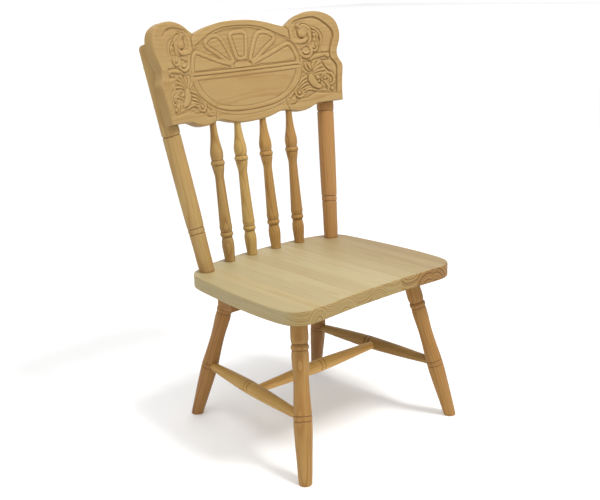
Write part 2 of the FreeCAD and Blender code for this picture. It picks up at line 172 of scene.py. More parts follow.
def pine(name, origin=None, axis=(0, 0, 1), up=(1, 0, 0), attr=None, seed=0, pith=(30.0, 12.0), gap=3.2,
         early=(206, 172, 116), late=(168, 118, 62), deep=(120, 78, 38), contrast=0.68, stain=0.35,
         stain_col=(176, 122, 66), knots=(), bands=(), band_col=(122, 80, 42), rough=(0.50, 0.68), warp=9.0,
         carve=False, saw=0.0, fleck=0.5, tone=(0.56, 0.52, 0.42), endgrain=0.0, end_cols=((192, 152, 104), (150, 98, 54))):
    """Procedural pine. The grain runs along axis; the growth rings are round a pith line beside the piece."""
    T = Tree(name)

    def lin(c):
        return [shade(q, k) for q, k in zip(c, tone)] + [1.0]

    if attr:
        a = T.t.nodes.new("ShaderNodeAttribute")
        a.attribute_name = attr
        v = a.outputs["Vector"]
    else:
        z = Vector(axis).normalized()
        x = Vector(up) - z * Vector(up).dot(z)
        x.normalize()
        y = z.cross(x)
        M = Matrix((x, y, z))
        tc = T.t.nodes.new("ShaderNodeTexCoord")
        mp = T.t.nodes.new("ShaderNodeMapping")
        mp.vector_type = "POINT"
        mp.inputs["Scale"].default_value = (1000, 1000, 1000)
        mp.inputs["Rotation"].default_value = M.to_euler("XYZ")
        mp.inputs["Location"].default_value = -(M @ Vector(origin))
        T.t.links.new(tc.outputs["Object"], mp.inputs["Vector"])
        v = mp.outputs[0]
    rs = np.random.RandomState(1000 + seed)
    off = tuple(float(q) for q in rs.uniform(-400, 400, 3))
    vs = T.vec("ADD", v, off)
    sep = T.t.nodes.new("ShaderNodeSeparateXYZ")
    T.put(sep.inputs[0], v)
    # slow wander of the log and small waviness of the rings
    slow = T.noise(T.vec("MULTIPLY", vs, (0.013, 0.013, 0.0042)), 1.5, 0.5, True)
    mid = T.noise(T.vec("MULTIPLY", vs, (0.075, 0.075, 0.011)), 2.0, 0.5, True)
    w = T.vec("ADD", v, T.vec("SCALE", T.vec("SUBTRACT", slow, (0.5, 0.5, 0.5)), warp * 2.0))
    w = T.vec("ADD", w, T.vec("SCALE", T.vec("SUBTRACT", mid, (0.5, 0.5, 0.5)), 2.6))
    w = T.vec("MULTIPLY", T.vec("SUBTRACT", w, (pith[0], pith[1], 0.0)), (1.0, 1.0, 0.0))
    r = T.vec("LENGTH", w)
    kmask = None
    for kx, ky, kz, kr in knots:
        d = T.vec("LENGTH", T.vec("MULTIPLY", T.vec("SUBTRACT", v, (kx, ky, kz)), (1.0, 1.0, 0.62)))
        e = T.math("POWER", 2.718, T.math("MULTIPLY", T.math("POWER", T.math("DIVIDE", d, kr * 2.3), 2.0), -1.0))
        r = T.math("ADD", r, T.math("MULTIPLY", e, kr * 1.9))
        m = T.math("SUBTRACT", 1.0, T.math("DIVIDE", d, kr), clamp=True)
        m = T.math("POWER", m, 0.55)
        kmask = m if kmask is None else T.math("MAXIMUM", kmask, m)
    cr = T.t.nodes.new("ShaderNodeCombineXYZ")
    T.put(cr.inputs[0], T.math("MULTIPLY", r, 0.16))
    cr.inputs[1].default_value = seed * 3.7
    wob = T.noise(cr.outputs[0], 1.0, 0.5)
    phase = T.math("ADD", T.math("DIVIDE", r, gap), T.math("MULTIPLY", wob, 2.2))
    fr = T.math("FRACT", phase)
    ring = T.ramp(fr, [(0.0, g(0.02)), (0.35, g(0.10)), (0.62, g(0.34)), (0.82, g(0.85)), (0.93, g(1.0)), (1.0, g(0.04))])
    amt = T.noise(T.vec("MULTIPLY", vs, (0.03, 0.03, 0.006)), 1.0, 0.5)
    amt = T.math("MULTIPLY_ADD", amt, 1.1, contrast - 0.55)
    amt = T.math("MINIMUM", T.math("MAXIMUM", amt, 0.12), 1.0)
    fibre = T.noise(T.vec("MULTIPLY", vs, (0.85, 0.85, 0.016)), 4.0, 0.62)
    fine = T.noise(T.vec("MULTIPLY", vs, (4.2, 4.2, 0.055)), 2.0, 0.6)
    broad = T.noise(T.vec("MULTIPLY", vs, (0.02, 0.02, 0.007)), 2.0, 0.55)
    col = T.mix(T.math("MULTIPLY", ring, amt), lin(early), lin(late))
    st = T.math("MULTIPLY", T.math("SUBTRACT", broad, 0.42, clamp=True), 3.2 * stain, clamp=True)
    col = T.mix(st, col, lin(stain_col))
    fibre_tone = T.math("MULTIPLY_ADD", fibre, 0.42, 0.79)
    col = T.mix(1.0, col, T.ramp(fibre_tone, [(0.0, g(0.0)), (1.0, g(1.0))]), "MULTIPLY")
    # fine resin flecks that run with the grain
    fl = T.math("MULTIPLY", T.math("SUBTRACT", fine, 0.60, clamp=True), 4.5, clamp=True)
    col = T.mix(T.math("MULTIPLY", fl, fleck), col, lin(deep))
    if kmask is not None:
        col = T.mix(T.math("MULTIPLY", kmask, 0.92, clamp=True), col, lin((92, 52, 24)))
    if saw > 0:
        sw = T.noise(T.vec("MULTIPLY", vs, (0.09, 0.09, 0.9)), 2.0, 0.6)
        col = T.mix(T.math("MULTIPLY", T.math("SUBTRACT", sw, 0.5, clamp=True), saw * 3.0, clamp=True), col, lin(deep))
    band = None
    for z0, hw, amt_b in bands:
        d = T.math("ABSOLUTE", T.math("SUBTRACT", sep.outputs[2], z0))
        m = T.math("SUBTRACT", 1.0, T.math("DIVIDE", d, hw), clamp=True)
        m = T.math("MULTIPLY", T.math("POWER", m, 0.8), amt_b)
        band = m if band is None else T.math("MAXIMUM", band, m)
    if band is not None:
        nb = T.noise(T.vec("MULTIPLY", vs, (0.25, 0.25, 0.25)), 2.0, 0.5)
        band = T.math("MULTIPLY", band, T.math("MULTIPLY_ADD", nb, 0.9, 0.5), clamp=True)
        col = T.mix(band, col, lin(band_col))
    # carved crest: the cavity attribute paints shade in the cuts (partly dirt) in band_col
    if carve:
        ca = T.t.nodes.new("ShaderNodeAttribute")
        ca.attribute_name = "cavity_shade_and_dirt"
        cv = ca.outputs["Fac"]
        col = T.mix(T.math("MULTIPLY", cv, 0.50, clamp=True), col, lin(band_col))
        # painted highlight: lighter colour on the raised ridges of the carving
        ra = T.t.nodes.new("ShaderNodeAttribute")
        ra.attribute_name = "ridge_highlight"
        col = T.mix(T.math("MULTIPLY", ra.outputs["Fac"], 0.35, clamp=True), col, lin((226, 188, 128)))
    if endgrain:
        ge = T.t.nodes.new("ShaderNodeNewGeometry")
        dt = T.vec("DOT_PRODUCT", ge.outputs["Normal"], tuple(Vector(axis).normalized()))
        ew = T.math("MULTIPLY", T.math("SUBTRACT", T.math("ABSOLUTE", dt), 0.25), 1.8, clamp=True)
        pores = T.noise(T.vec("MULTIPLY", vs, (1.9, 1.9, 1.9)), 3.0, 0.65)
        ecol = T.mix(ring, lin(end_cols[0]), lin(end_cols[1]))
        ecol = T.mix(T.math("MULTIPLY", T.math("SUBTRACT", pores, 0.45, clamp=True), 1.4, clamp=True), ecol, lin(end_cols[1]))
        col = T.mix(T.math("MULTIPLY", ew, endgrain, clamp=True), col, ecol)
    T.put(T.bsdf.inputs["Base Color"], col)
    ro = T.noise(T.vec("MULTIPLY", vs, (0.12, 0.12, 0.03)), 2.0, 0.5)
    ro = T.math("MULTIPLY_ADD", ro, rough[1] - rough[0], rough[0])
    ro = T.math("MULTIPLY_ADD", T.math("MULTIPLY", ring, amt), -0.05, ro)
    T.put(T.bsdf.inputs["Roughness"], ro)
    T.bsdf.inputs["Specular IOR Level"].default_value = 0.24
    T.bsdf.inputs["Coat Weight"].default_value = 0.03
    T.bsdf.inputs["Coat Roughness"].default_value = 0.30
    h = T.math("MULTIPLY_ADD", fibre, 0.10, T.math("MULTIPLY", T.math("MULTIPLY", ring, amt), 0.035))
    h = T.math("MULTIPLY_ADD", fine, 0.035, h)
    T.put(T.bsdf.inputs["Normal"], T.bump(h, 0.7, 0.001))
    return T.mat


def steel(name):
    T = Tree(name)
    tc = T.t.nodes.new("ShaderNodeTexCoord")
    n = T.noise(T.vec("SCALE", tc.outputs["Object"], 900.0), 3.0, 0.6)
    T.put(T.bsdf.inputs["Base Color"], T.ramp(n, [(0.3, lin((150, 146, 138))), (0.7, lin((196, 192, 184)))]))
    T.bsdf.inputs["Metallic"].default_value = 1.0
    T.put(T.bsdf.inputs["Roughness"], T.math("MULTIPLY_ADD", n, 0.25, 0.26))
    T.put(T.bsdf.inputs["Normal"], T.bump(T.noise(T.vec("SCALE", tc.outputs["Object"], 2600.0), 2.0, 0.5), 0.25, 0.0002))
    return T.mat


def dress(node, mat):
    o = NODES[node]
    if not o.material_slots:
        o.data.materials.append(mat)
    for sl in o.material_slots:
        sl.material = mat


# ---------------------------------------------------------------------------
# Materials of the solid pieces
# ---------------------------------------------------------------------------
def W(x, y, z):
    return Vector((x, y + SHIFT_Y, z))


FOOT_F, FOOT_R, TOP_F, TOP_R = (181.4, -168.0), (155.1, 181.2), (132.8, -109.4), (108.9, 102.6)
ZU = SEAT_H - SEAT_T
LEG_LINE = {}
for nm, sx, ft, tp in (("leg_front_left", -1, FOOT_F, TOP_F), ("leg_front_right", 1, FOOT_F, TOP_F),
                       ("leg_rear_left", -1, FOOT_R, TOP_R), ("leg_rear_right", 1, FOOT_R, TOP_R)):
    LEG_LINE[nm] = (W(sx * ft[0], ft[1], 0), W(sx * tp[0], tp[1], ZU))

LEG_LOOK = {
    "leg_front_left": dict(seed=1, knots=((-12.0, -9.7, 196.2, 1.5),), pith=(34, 16), gap=4.4, early=(208, 168, 106), late=(176, 126, 66)),
    "leg_front_right": dict(seed=2, pith=(22, -20), gap=4.2, early=(204, 160, 98), late=(168, 116, 58)),
    "leg_rear_left": dict(seed=3, pith=(-30, 14), gap=4.0, early=(198, 152, 96), late=(160, 108, 56)),
    # the rear right leg is toned darker for the seat's shadow: painted shade
    "leg_rear_right": dict(seed=4, pith=(26, 22), gap=4.3, early=(190, 146, 92), late=(154, 104, 54), tone=(0.48, 0.44, 0.36)),
}
for nm, (a, b) in LEG_LINE.items():
    k = (b - a).length / 286.1
    bands = [(105 * k, 1.3, 0.75), (114 * k, 1.3, 0.75), (221.8 * k, 1.7, 0.7), (232.4 * k, 1.8, 0.7), (286 * k, 3.0, 0.5)]
    dress(nm, pine("pine_" + nm, a, b - a, (1, 0.2, 0), bands=bands, **LEG_LOOK[nm]))


def on_leg(nm, d):
    a, b = LEG_LINE[nm]
    return a + (b - a) * (d / (b - a).length)


mids = []
# the left stretcher is toned lighter to make up for the shade under the seat (painted light); the right stretcher is
# toned darker for the seat's shadow (painted shade)
for nm, f, r, sd in (("stretcher_left", "leg_front_left", "leg_rear_left", 11), ("stretcher_right", "leg_front_right", "leg_rear_right", 12)):
    a, b = on_leg(f, 109.7), on_leg(r, 109.7)
    n = (b - a).length
    dress(nm, pine("pine_" + nm, a, b - a, (0, 0, 1), seed=sd, pith=(18, 20), gap=3.9, tone=(0.72, 0.73, 0.56) if sd == 11 else (0.50, 0.49, 0.40), contrast=0.62, early=(204, 164, 104), late=(170, 120, 62),
                   bands=[(n * 0.53 - 4.6, 1.3, 0.75), (n * 0.53 + 4.6, 1.3, 0.75)]))
    mids.append(a + (b - a) * 0.482)
a, b = mids
u = (b - a).normalized()
a2, b2 = a + u * 2, b - u * 2
n2 = (b2 - a2).length
# the medial stretcher is toned lighter to make up for the shade under the seat: painted light
dress("stretcher_medial", pine("pine_stretcher_medial", a2, b2 - a2, (0, 0, 1), seed=13, pith=(-16, 22), gap=3.8, tone=(1.04, 1.14, 0.96), contrast=0.62,
                               early=(202, 156, 98), late=(164, 108, 54),
                               bands=[(n2 * 0.517 - 4.6, 1.3, 0.75), (n2 * 0.517 + 4.6, 1.3, 0.75)]))


def back(x, s, o):
    return W(x, BACK_Y + s * math.sin(RAKE) + o * math.cos(RAKE), SEAT_H + s * math.cos(RAKE) - o * math.sin(RAKE))


for nm, px, dx, look in (("back_post_left", -151.4, -0.1230, dict(seed=21, pith=(40, 10), gap=4.6, early=(208, 176, 120), late=(178, 134, 78), tone=(0.60, 0.58, 0.49), contrast=0.5)),
                         ("back_post_right", 152.9, 0.1105, dict(seed=22, pith=(26, -24), gap=3.8, early=(192, 142, 88), late=(152, 98, 50), tone=(0.69, 0.72, 0.66), contrast=0.6))):
    a, b = back(px, 0, 0), back(px + dx * 409.0, 409.0, 0)
    fs = (b - a).length / 408.0
    dress(nm, pine("pine_" + nm, a, b - a, (1, 0, 0), bands=[(72 * fs, 1.3, 0.8), (82 * fs, 1.3, 0.8), (248.7 * fs, 1.6, 0.8), (0, 2.5, 0.5)], **look))

SPINDLES = [(-84.8, 139.5, -88.0, 258.0), (-29.5, 143.05, -29.6, 253.2), (29.3, 143.05, 29.2, 253.2), (85.8, 139.5, 88.4, 258.0)]
for i, (x0, y0, x1, s1) in enumerate(SPINDLES):
    a = W(x0, y0, SEAT_H)
    b = Vector(crest_xyz(x1, s1 - 0.5, CREST_T / 2 + 0.6) * 1000.0)
    look = [dict(early=(186, 144, 92), late=(150, 102, 55)), dict(early=(204, 162, 102), late=(166, 116, 62)),
            dict(early=(194, 146, 88), late=(150, 98, 48)), dict(early=(186, 136, 82), late=(146, 94, 48))][i]
    dress("spindle_%d" % (i + 1), pine("pine_spindle_%d" % (i + 1), a, b - a, (1, 0, 0), seed=31 + i, tone=(0.70, 0.78, 0.68), contrast=0.62, pith=(14 + 5 * i, 18 - 9 * i), gap=3.8,
                                       bands=[(46.8, 1.5, 0.75), (56.8, 1.5, 0.75), (181.0, 1.4, 0.75), (190.0, 1.6, 0.8), (0, 2.0, 0.4)], **look))

rs = np.random.RandomState(5)
SEAT_TONE = [(204, 180, 134), (210, 184, 136), (206, 182, 138), (212, 188, 142), (204, 178, 132), (210, 186, 142),
             (209, 184, 141), (198, 172, 127), (190, 163, 117), (189, 161, 117), (180, 150, 106)]
for i in range(11):
    nm = "seat_stave_%02d" % (i + 1)
    xc = (i - 5) * 35.8
    e = SEAT_TONE[i]
    l = (e[0] - 26, e[1] - 34, e[2] - 38)
    pz = (-14.0 if i % 2 else 34.0) + float(rs.uniform(-6, 6))
    px, gp = float(rs.uniform(-10, 10)), float(rs.uniform(3.6, 5.2))
    if i > 6:
        px, pz, gp = ((4.0, 26.0, 4.4), (9.0, -15.0, 4.7), (-7.0, -18.0, 4.5), (-33.0, -9.0, 4.8))[i - 7]
    dress(nm, pine("pine_" + nm, W(xc, 0, ZU + 12), (0, 1, 0.004), (1, 0, 0), seed=41 + i, pith=(px, -pz), gap=gp,
                   early=e, late=l, deep=(150, 108, 62), contrast=0.30, stain=0.22, stain_col=(194, 162, 106), rough=(0.52, 0.66), warp=6.0, fleck=0.35, tone=(0.57, 0.61, 0.60),
                         endgrain=1.0 if i > 6 else 0.8, end_cols=(((196, 148, 85), (112, 62, 25)) if i > 7 else ((204, 165, 103), (126, 78, 35)) if i > 6 else ((201, 167, 102), (153, 109, 55)))))
dress("seat_batten", pine("pine_seat_batten", W(0, 16.8, ZU - 7.5), (1, 0, 0), (0, 1, 0), seed=61, pith=(6, 40), gap=3.4,
                          early=(186, 140, 88), late=(146, 98, 52), rough=(0.6, 0.8), saw=0.4))
SCREW = steel("dull_steel")
dress("batten_screws", SCREW)
dress("crest_screws", SCREW)


# ---------------------------------------------------------------------------
# Crest board with its carving
# ---------------------------------------------------------------------------
TOP = [(0, 438.5), (30, 437.3), (50, 434.3), (70, 429.6), (90, 423.2), (105, 419.0)]
SCROLL = [(105, 419.0), (114, 424.6), (125, 432.4), (137, 438.0), (150, 441.3), (163, 442.2), (176, 441.2),
          (188, 438.0), (200, 432.4), (209, 425.0), (214.6, 415.6), (217.2, 404.5), (217.4, 392.0), (213.6, 379.0),
          (208.6, 368.0), (206.0, 356.5), (208.6, 345.5)]
FLARE = [(208.6, 345.5), (213.0, 336.5), (211.6, 322.0), (207.6, 304.0), (204.6, 286.0), (202.6, 267.4)]
FOOTL = [(202.6, 267.4), (176.0, 267.6), (150.0, 267.4)]
LOBE = [(150.0, 267.4), (142, 264.6), (132, 260.4), (122, 257.8), (112, 257.0), (100, 258.6), (88, 261.6), (76, 263.3),
        (64, 262.0), (52, 258.6), (38, 255.4), (20, 253.2), (0, 252.5)]


def spline(pts, step=0.5):
    """Natural cubic spline through the points, resampled evenly."""
    P = np.array(pts, float)
    if len(P) == 2:
        n = max(2, int(np.hypot(*(P[1] - P[0])) / step) + 1)
        return P[0] + (P[1] - P[0]) * np.linspace(0, 1, n)[:, None]
    t = np.r_[0, np.cumsum(np.hypot(*(P[1:] - P[:-1]).T))]
    n = len(P)
    h = np.diff(t)
    A = np.eye(n)
    B = np.zeros((n, P.shape[1]))
    for i in range(1, n - 1):
        A[i, i - 1], A[i, i], A[i, i + 1] = h[i - 1], 2 * (h[i - 1] + h[i]), h[i]
        B[i] = 6 * ((P[i + 1] - P[i]) / h[i] - (P[i] - P[i - 1]) / h[i - 1])
    m = np.linalg.solve(A, B)
    q = np.linspace(0, t[-1], max(3, int(t[-1] / step) + 1))
    k = np.clip(np.searchsorted(t, q, side="right") - 1, 0, n - 2)
    a = (t[k + 1] - q)[:, None]
    b = (q - t[k])[:, None]
    hk = h[k][:, None]
    return (m[k] * a ** 3 + m[k + 1] * b ** 3) / (6 * hk) + (P[k] / hk - m[k] * hk / 6) * a + (P[k + 1] / hk - m[k + 1] * hk / 6) * b


right_side = np.vstack([spline(c)[:-1] for c in (TOP, SCROLL, FLARE, FOOTL, LOBE)] + [np.array([[0.0, 252.5]])])
OUT = np.vstack([right_side, (right_side[1:-1] * (-1, 1))[::-1]])

STEP = 0.7
gs = np.arange(-219.1, 219.2, STEP)
gS = np.arange(250.6, 444.0, STEP)
GX, GY = np.meshgrid(gs, gS)
NXg, NYg = len(gs), len(gS)


def dist_line(pts, reach, closed=False):
    """Distance from every grid point to a polyline, and the place along it (0 to 1), out to reach."""
    P = np.asarray(pts, float)
    if closed:
        P = np.vstack([P, P[:1]])
    D = np.full(GX.shape, 1e3)
    L = np.zeros(GX.shape)
    cum = np.r_[0, np.cumsum(np.hypot(*(P[1:] - P[:-1]).T))]
    tot = cum[-1]
    for i in range(len(P) - 1):
        a, b = P[i], P[i + 1]
        i0 = max(0, int((min(a[0], b[0]) - reach - gs[0]) / STEP))
        i1 = min(NXg, int((max(a[0], b[0]) + reach - gs[0]) / STEP) + 2)
        j0 = max(0, int((min(a[1], b[1]) - reach - gS[0]) / STEP))
        j1 = min(NYg, int((max(a[1], b[1]) + reach - gS[0]) / STEP) + 2)
        if i1 <= i0 or j1 <= j0:
            continue
        x, y = GX[j0:j1, i0:i1], GY[j0:j1, i0:i1]
        d = b - a
        q = max(d @ d, 1e-12)
        t = np.clip(((x - a[0]) * d[0] + (y - a[1]) * d[1]) / q, 0, 1)
        dd = np.hypot(x - a[0] - t * d[0], y - a[1] - t * d[1])
        sub = D[j0:j1, i0:i1]
        m = dd < sub
        sub[m] = dd[m]
        L[j0:j1, i0:i1][m] = ((cum[i] + t * (cum[i + 1] - cum[i])) / tot)[m]
    return D, L


def inside_poly(pts):
    P = np.asarray(pts, float)
    res = np.zeros(GX.shape, bool)
    a, b = P, np.roll(P, -1, 0)
    for j, y in enumerate(gS):
        m = (a[:, 1] > y) != (b[:, 1] > y)
        if not m.any():
            continue
        xs = np.sort(a[m, 0] + (y - a[m, 1]) / (b[m, 1] - a[m, 1]) * (b[m, 0] - a[m, 0]))
        res[j] = (np.searchsorted(xs, gs) % 2) == 1
    return res


def sstep(x, a, b):
    t = np.clip((x - a) / (b - a), 0, 1)
    return t * t * (3 - 2 * t)


def blur(A, mm):
    r = max(1, int(round(mm * 2.5 / STEP)))
    k = np.exp(-0.5 * (np.arange(-r, r + 1) * STEP / mm) ** 2)
    k /= k.sum()
    Ap = np.pad(A, r, mode="edge")
    Ap = sum(k[i] * Ap[i:i + A.shape[0], :] for i in range(2 * r + 1))
    return sum(k[i] * Ap[:, i:i + A.shape[1]] for i in range(2 * r + 1))


D_out, _ = dist_line(OUT, 22.0, closed=True)
IN = inside_poly(OUT)
D_sign = np.where(IN, D_out, -D_out)

H = np.zeros(GX.shape)      # height over the board's front plane, mm (negative is cut in)
CUT_SHADE_AND_DIRT = np.zeros(GX.shape)    # dark colour in the cuts: painted shade in the hollows, partly dirt
GROOVE = np.zeros(GX.shape)
# dark marks along the cuts, pits and punched dots: partly painted shade, partly dirt
CUT_LINE_SHADE_DIRT = np.zeros(GX.shape)


def runout(P, L, fade):
    """1 along a stroke, dropping to 0 at its free ends (not where two mirrored halves meet at s = 0)."""
    if fade <= 0:
        return 1.0
    a_, b_ = (np.ones_like(L) * 9 if abs(P[0, 0]) < 0.5 else L), (np.ones_like(L) * 9 if abs(P[-1, 0]) < 0.5 else 1 - L)
    return np.clip(np.minimum(a_, b_) / fade, 0, 1) ** 0.5


def sides(pts, two=True):
    P = spline(pts)
    return (P, P * (-1, 1)) if two else (P,)


def field(poly, level, soft=1.0, two=True):
    """Level off a region, with walls that slope over about 2 x soft."""
    for sg in ((1, -1) if two else (1,)):
        P = np.asarray(poly, float) * (sg, 1)
        D, _ = dist_line(P, soft + 1.5, closed=True)
        D = np.where(inside_poly(P), D, -D)
        m = sstep(D, -soft, soft)
        H[:] = H * (1 - m) + level * m


def groove(pts, w, d, dark=1.0, two=True, fade=0.06, left=1.0):
    """A V-bottomed cut along a curve; it runs out at both ends. left weakens the worn left-hand twin."""
    d0, dark0 = d, dark
    for n_, P in enumerate(sides(pts, two)):
        d, dark = (d0, dark0) if n_ == 0 else (d0 * left, dark0 * left)
        D, L = dist_line(P, w + 0.8)
        e = runout(P, L, fade)
        q = np.clip(1 - D / w, 0, 1)
        GROOVE[:] = np.maximum(GROOVE, d * e * (q ** 0.8) * (D < w))
        # the cut is also marked dark: partly painted shade, partly dirt
        CUT_LINE_SHADE_DIRT[:] = np.maximum(CUT_LINE_SHADE_DIRT, dark * e * np.clip(1.15 - D / (0.75 * w), 0, 1))


def rib(pts, w, top, fall=1.6, two=True, ends=0.08, peak=0.5):
    """A raised round-backed strand of even width that rises to top."""
    for P in sides(pts, two):
        D, L = dist_line(P, w + 0.5)
        e = runout(P, L, ends)
        ww = w * (0.55 + 0.45 * e)
        z = top - fall * (1 - np.sqrt(np.clip(1 - (D / ww) ** 2, 0, 1)))
        H[:] = np.where(D < ww, np.maximum(H, z), H)


def leaf(pts, w, top, fall=1.6, peak=0.45, vein=0.0, two=True, tip=0.18):
    """A tapering leaf on a curved midrib, widest at peak of its length."""
    for P in sides(pts, two):
        D, L = dist_line(P, w + 0.5)
        prof = np.where(L < peak, np.sin(0.5 * math.pi * np.clip(L / peak, 0, 1)), np.cos(0.5 * math.pi * np.clip((L - peak) / (1 - peak), 0, 1)))
        ww = w * (tip + (1 - tip) * np.clip(prof, 0, 1) ** 0.8)
        z = top - fall * (1 - np.sqrt(np.clip(1 - (D / ww) ** 2, 0, 1)))
        if vein:
            z = z - vein * np.clip(1 - D / 0.9, 0, 1) * np.clip(np.minimum(L, 1 - L) / 0.15, 0, 1)
        H[:] = np.where(D < ww, np.maximum(H, z), H)


def knob(x, y, rx, ry, top, fall, ang=0.0, two=True, ring=0.0):
    c, s_ = math.cos(math.radians(ang)), math.sin(math.radians(ang))
    for sg in ((1, -1) if two else (1,)):
        dx, dy = (GX - sg * x) * sg, GY - y
        u_, v_ = (dx * c + dy * s_) / rx, (-dx * s_ + dy * c) / ry
        rr = np.hypot(u_, v_)
        z = top - fall * (1 - np.sqrt(np.clip(1 - rr ** 2, 0, 1)))
        H[:] = np.where(rr < 1, np.maximum(H, z), H)
        if ring:
            D = np.abs(rr - 1.0) * min(rx, ry)
            GROOVE[:] = np.maximum(GROOVE, ring * np.clip(1 - D / 1.3, 0, 1))
            # the ring cut is also marked dark: partly painted shade, partly dirt
            CUT_LINE_SHADE_DIRT[:] = np.maximum(CUT_LINE_SHADE_DIRT, 0.8 * np.clip(1 - D / 1.3, 0, 1))


def pit(x, y, rx, ry, d, ang=0.0, two=True):
    c, s_ = math.cos(math.radians(ang)), math.sin(math.radians(ang))
    for sg in ((1, -1) if two else (1,)):
        dx, dy = (GX - sg * x) * sg, GY - y
        rr = np.hypot((dx * c + dy * s_) / rx, (-dx * s_ + dy * c) / ry)
        q = np.clip(1 - rr ** 2, 0, 1)
        GROOVE[:] = np.maximum(GROOVE, d * q ** 0.7)
        # the pit is also marked dark: partly painted shade, partly dirt
        CUT_LINE_SHADE_DIRT[:] = np.maximum(CUT_LINE_SHADE_DIRT, 1.0 * q ** 0.5)


# --- carved fields -------------------------------------------------------
ARCH = [(0, 427.5), (25, 426.5), (50, 422), (75, 412.5), (90, 405), (104, 398.5)]
SIDE = [(108.5, 392), (116, 388), (123.5, 376), (127, 361), (126, 346)]
BOWL = [(127, 336), (125, 325), (110, 305), (95, 293), (75, 283.5), (50, 277), (25, 274.3), (0, 273.5)]
INNER = [(125, 425), (135, 428), (150, 430.5), (160, 431), (170, 430), (180, 425), (190, 417), (197, 410), (202.5, 400),
         (203, 390), (199, 382), (196, 375), (193, 368), (191, 360), (190.5, 353), (193.5, 347), (197.5, 341), (200, 335.5),
         (199.3, 325), (197, 310), (194.3, 296), (192, 283.5)]
SILL = [(191.5, 282.5), (175, 284.3), (160, 286.5), (150, 288), (140, 285), (128, 280.5), (117, 281), (108, 276), (98, 272), (86, 272.5)]

# foliage ground at each end
ground = np.vstack([spline(INNER, 2.0), spline(SILL, 2.0), [(96, 286)], spline([(110, 299), (121, 313), (128, 327), (131, 345), (131, 362), (127, 379), (120, 391)], 2.0),
                    [(113, 397)], spline([(113, 397), (113, 409), (117, 417), (125, 425)], 2.0)[:-1]])
field(ground, -1.9, 1.2, two=False)
left_ground = ground * (-1, 1)
left_ground[:, 0] = np.maximum(left_ground[:, 0], -189.0 + 0.02 * (left_ground[:, 1] - 340.0))
field(left_ground, -1.7, 2.2, two=False)
# plain quiet ground under the upper scroll and by the outer edge
plain = np.vstack([spline([(150, 428), (168, 426.5), (180, 421), (190, 412), (198, 401), (198.5, 390), (194, 380), (190, 370), (188, 363.5)], 2.0),
                   spline([(188, 363.5), (176, 363.5), (176, 376), (180.5, 392), (177, 404), (168, 411), (157, 414.5), (150, 420), (140, 421)], 2.0)])
field(plain, -0.75, 1.6, two=False)
field(plain * (-1, 1), -0.12, 1.6, two=False)

# half-sun field over the three lines, and the bowl below them
up_side = spline([(126, 352), (124.5, 368), (119, 383), (111, 391), (98, 400), (75, 409.5), (50, 418.5), (25, 423.5), (0, 424.5)], 2.0)
sun = np.vstack([up_side, (up_side[:-1] * (-1, 1))[::-1]])
field(sun, -1.9, 1.0, two=False)

# the rays' borders: each petal is a flat wedge inside a round-backed frame
PETALS = [
    ([(0, 412.5), (9, 412.3), (13.2, 410.5), (13.6, 406), (10.4, 390), (6.6, 373.5), (0, 371.5)], "mid"),
    ([(25, 367), (33, 384.5), (40, 397.5), (45, 405), (51, 408.4), (60, 408), (69, 404.6), (74.4, 400.8), (74.0, 398.4), (69, 395), (50, 383), (32, 369.5)], "side"),
    ([(31, 353.8), (33, 356.6), (60, 365.3), (100, 380.3), (106.5, 381.2), (111.5, 376), (115.6, 366), (117.6, 357), (116.6, 353.2), (110, 352.9)], "low"),
]


def smooth_loop(pts, step=0.6):
    P = np.asarray(pts, float)
    out = []
    n = len(P)
    for i in range(n):
        p0, p1, p2, p3 = P[i - 1], P[i], P[(i + 1) % n], P[(i + 2) % n]
        m = max(2, int(np.hypot(*(p2 - p1)) / step))
        for t in np.linspace(0, 1, m, endpoint=False):
            a1 = (p2 - p0) * 0.26
            a2 = (p3 - p1) * 0.26
            h00, h10, h01, h11 = 2 * t ** 3 - 3 * t ** 2 + 1, t ** 3 - 2 * t ** 2 + t, -2 * t ** 3 + 3 * t ** 2, t ** 3 - t ** 2
            out.append(h00 * p1 + h10 * a1 + h01 * p2 + h11 * a2)
    return np.array(out)


clip_sun = inside_poly(np.vstack([up_side * (1.0, 1.0), (up_side[:-1] * (-1, 1))[::-1]]))
petal_loops = []
for pts, kind in PETALS:
    if kind == "mid":
        half = np.array(pts, float)
        loop_pts = np.vstack([half, (half[1:-1] * (-1, 1))[::-1]])
        petal_loops.append(smooth_loop(loop_pts))
    else:
        lp = smooth_loop(pts)
        petal_loops.append(lp)
        petal_loops.append(lp * (-1, 1))
BORD = 4.4
allD = np.full(GX.shape, 1e3)
for lp in petal_loops:
    D, _ = dist_line(lp, 12.0, closed=True)
    ins = inside_poly(lp)
    Ds = np.where(ins, -D, D)
    band = (Ds > -0.4) & (Ds < 2 * BORD)
    z = -0.05 - 1.5 * (1 - np.sqrt(np.clip(1 - ((Ds - BORD * 0.93) / BORD) ** 2, 0, 1)))
    m = band & (allD > Ds) & (GY > 350.0)
    H[m] = np.maximum(H[m], z[m])
    flat = -0.85 + 0.35 * sstep(-Ds, 0.0, 2.2)
    H[ins] = flat[ins]
    GROOVE[:] = np.maximum(GROOVE, 1.15 * np.clip(1 - np.abs(Ds) / 1.25, 0, 1))
    # the petal outline cut is also marked dark: partly painted shade, partly dirt
    CUT_LINE_SHADE_DIRT[:] = np.maximum(CUT_LINE_SHADE_DIRT, 0.9 * np.clip(1.1 - np.abs(Ds) / 1.1, 0, 1))
    allD = np.minimum(allD, Ds)
rim_line = np.clip(1.1 - np.abs(allD - 2 * BORD) / 1.15, 0, 1) * clip_sun * (GY > 353.5) * (allD < 1e2)
GROOVE[:] = np.maximum(GROOVE, 0.55 * rim_line)
